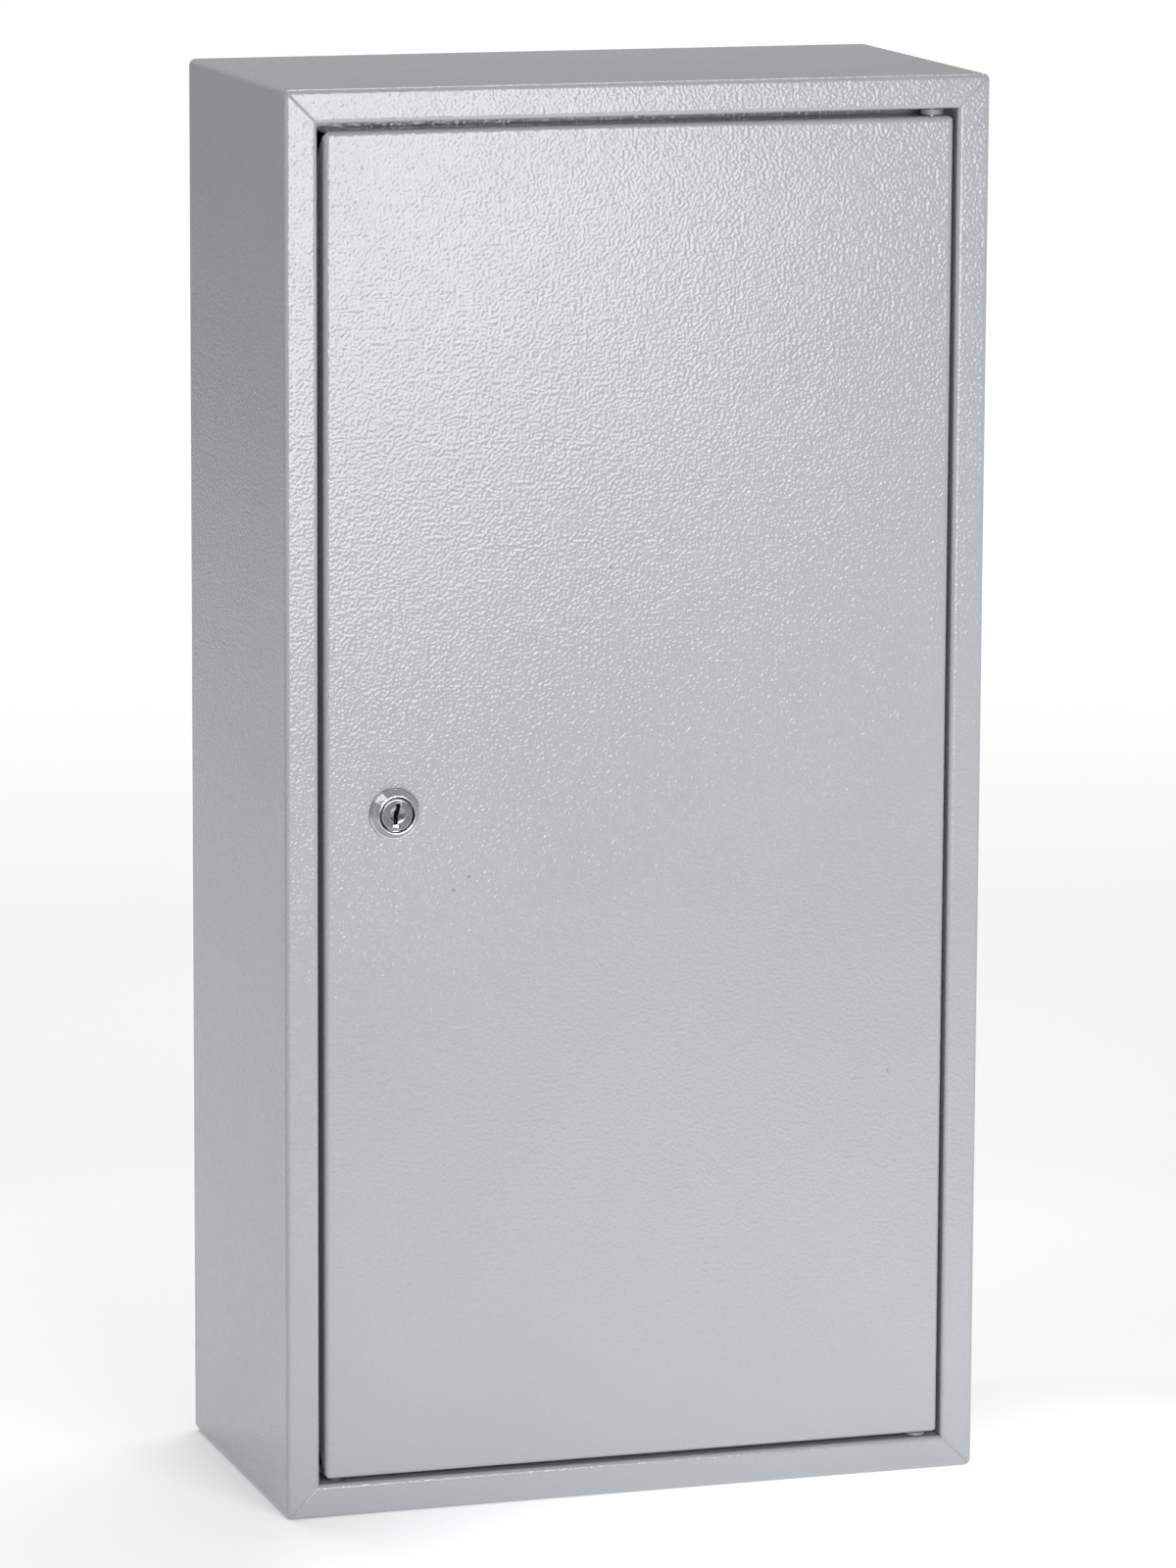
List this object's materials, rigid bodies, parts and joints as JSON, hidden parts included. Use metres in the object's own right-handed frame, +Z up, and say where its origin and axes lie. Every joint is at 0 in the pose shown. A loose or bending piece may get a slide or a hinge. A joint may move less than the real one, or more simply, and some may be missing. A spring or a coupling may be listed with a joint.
{
  "type": "key cabinet",
  "caption": "Wall key cabinet of folded sheet steel with an inset, right-hinged door, a cam lock and rails of numbered key hooks inside.",
  "frame": {"origin": "centre of the cabinet's rear face, on the wall, at half its width and half its height", "axes": "+Z up, +Y into the wall, so the door faces -Y, and +X to the right of someone facing the door"},
  "size_m": [0.28, 0.1442, 0.55],
  "materials": {
    "paint": "light grey powder coat, fine orange-peel texture",
    "zinc": "bright zinc plate",
    "chrome": "polished chrome plate",
    "nickel": "satin nickel plate",
    "nylon": "grey nylon",
    "label": "white, with black hook numbers"
  },
  "bodies": {
    "cabinet": {"body_shell": "paint", "back_panel": "paint", "hinge_pin_top": "zinc", "hinge_pin_bottom": "zinc", "hinge_washer_top": "nylon", "hinge_washer_bottom": "nylon", "upright_left": "zinc", "upright_right": "zinc", "hook_rail_1": "zinc", "hook_rail_2": "zinc", "hook_rail_3": "zinc", "hook_rail_4": "zinc", "hook_rail_5": "zinc", "hook_rail_6": "zinc", "number_strip_1": "label", "number_strip_2": "label", "number_strip_3": "label", "number_strip_4": "label", "number_strip_5": "label", "number_strip_6": "label", "rail_screw_1_left": "zinc", "rail_screw_1_right": "zinc", "rail_screw_2_left": "zinc", "rail_screw_2_right": "zinc", "rail_screw_3_left": "zinc", "rail_screw_3_right": "zinc", "rail_screw_4_left": "zinc", "rail_screw_4_right": "zinc", "rail_screw_5_left": "zinc", "rail_screw_5_right": "zinc", "rail_screw_6_left": "zinc", "rail_screw_6_right": "zinc"},
    "door": {"door_panel": "paint", "lock_housing": "chrome", "lock_washer": "zinc", "lock_nut": "zinc"},
    "lock": {"lock_plug": "nickel", "lock_cam": "zinc", "cam_washer": "zinc", "cam_screw": "zinc"}
  },
  "joints": [
    {"name": "door_hinge", "type": "hinge", "parent": "cabinet", "child": "door", "pos_m": [0.1179, -0.134, 0], "axis": [0, 0, 1], "range_deg": [0, 110]},
    {"name": "lock_turn", "type": "hinge", "parent": "door", "child": "lock", "pos_m": [-0.0973, -0.14, -0.00045], "axis": [0, 1, 0], "range_deg": [0, 90]}
  ]
}
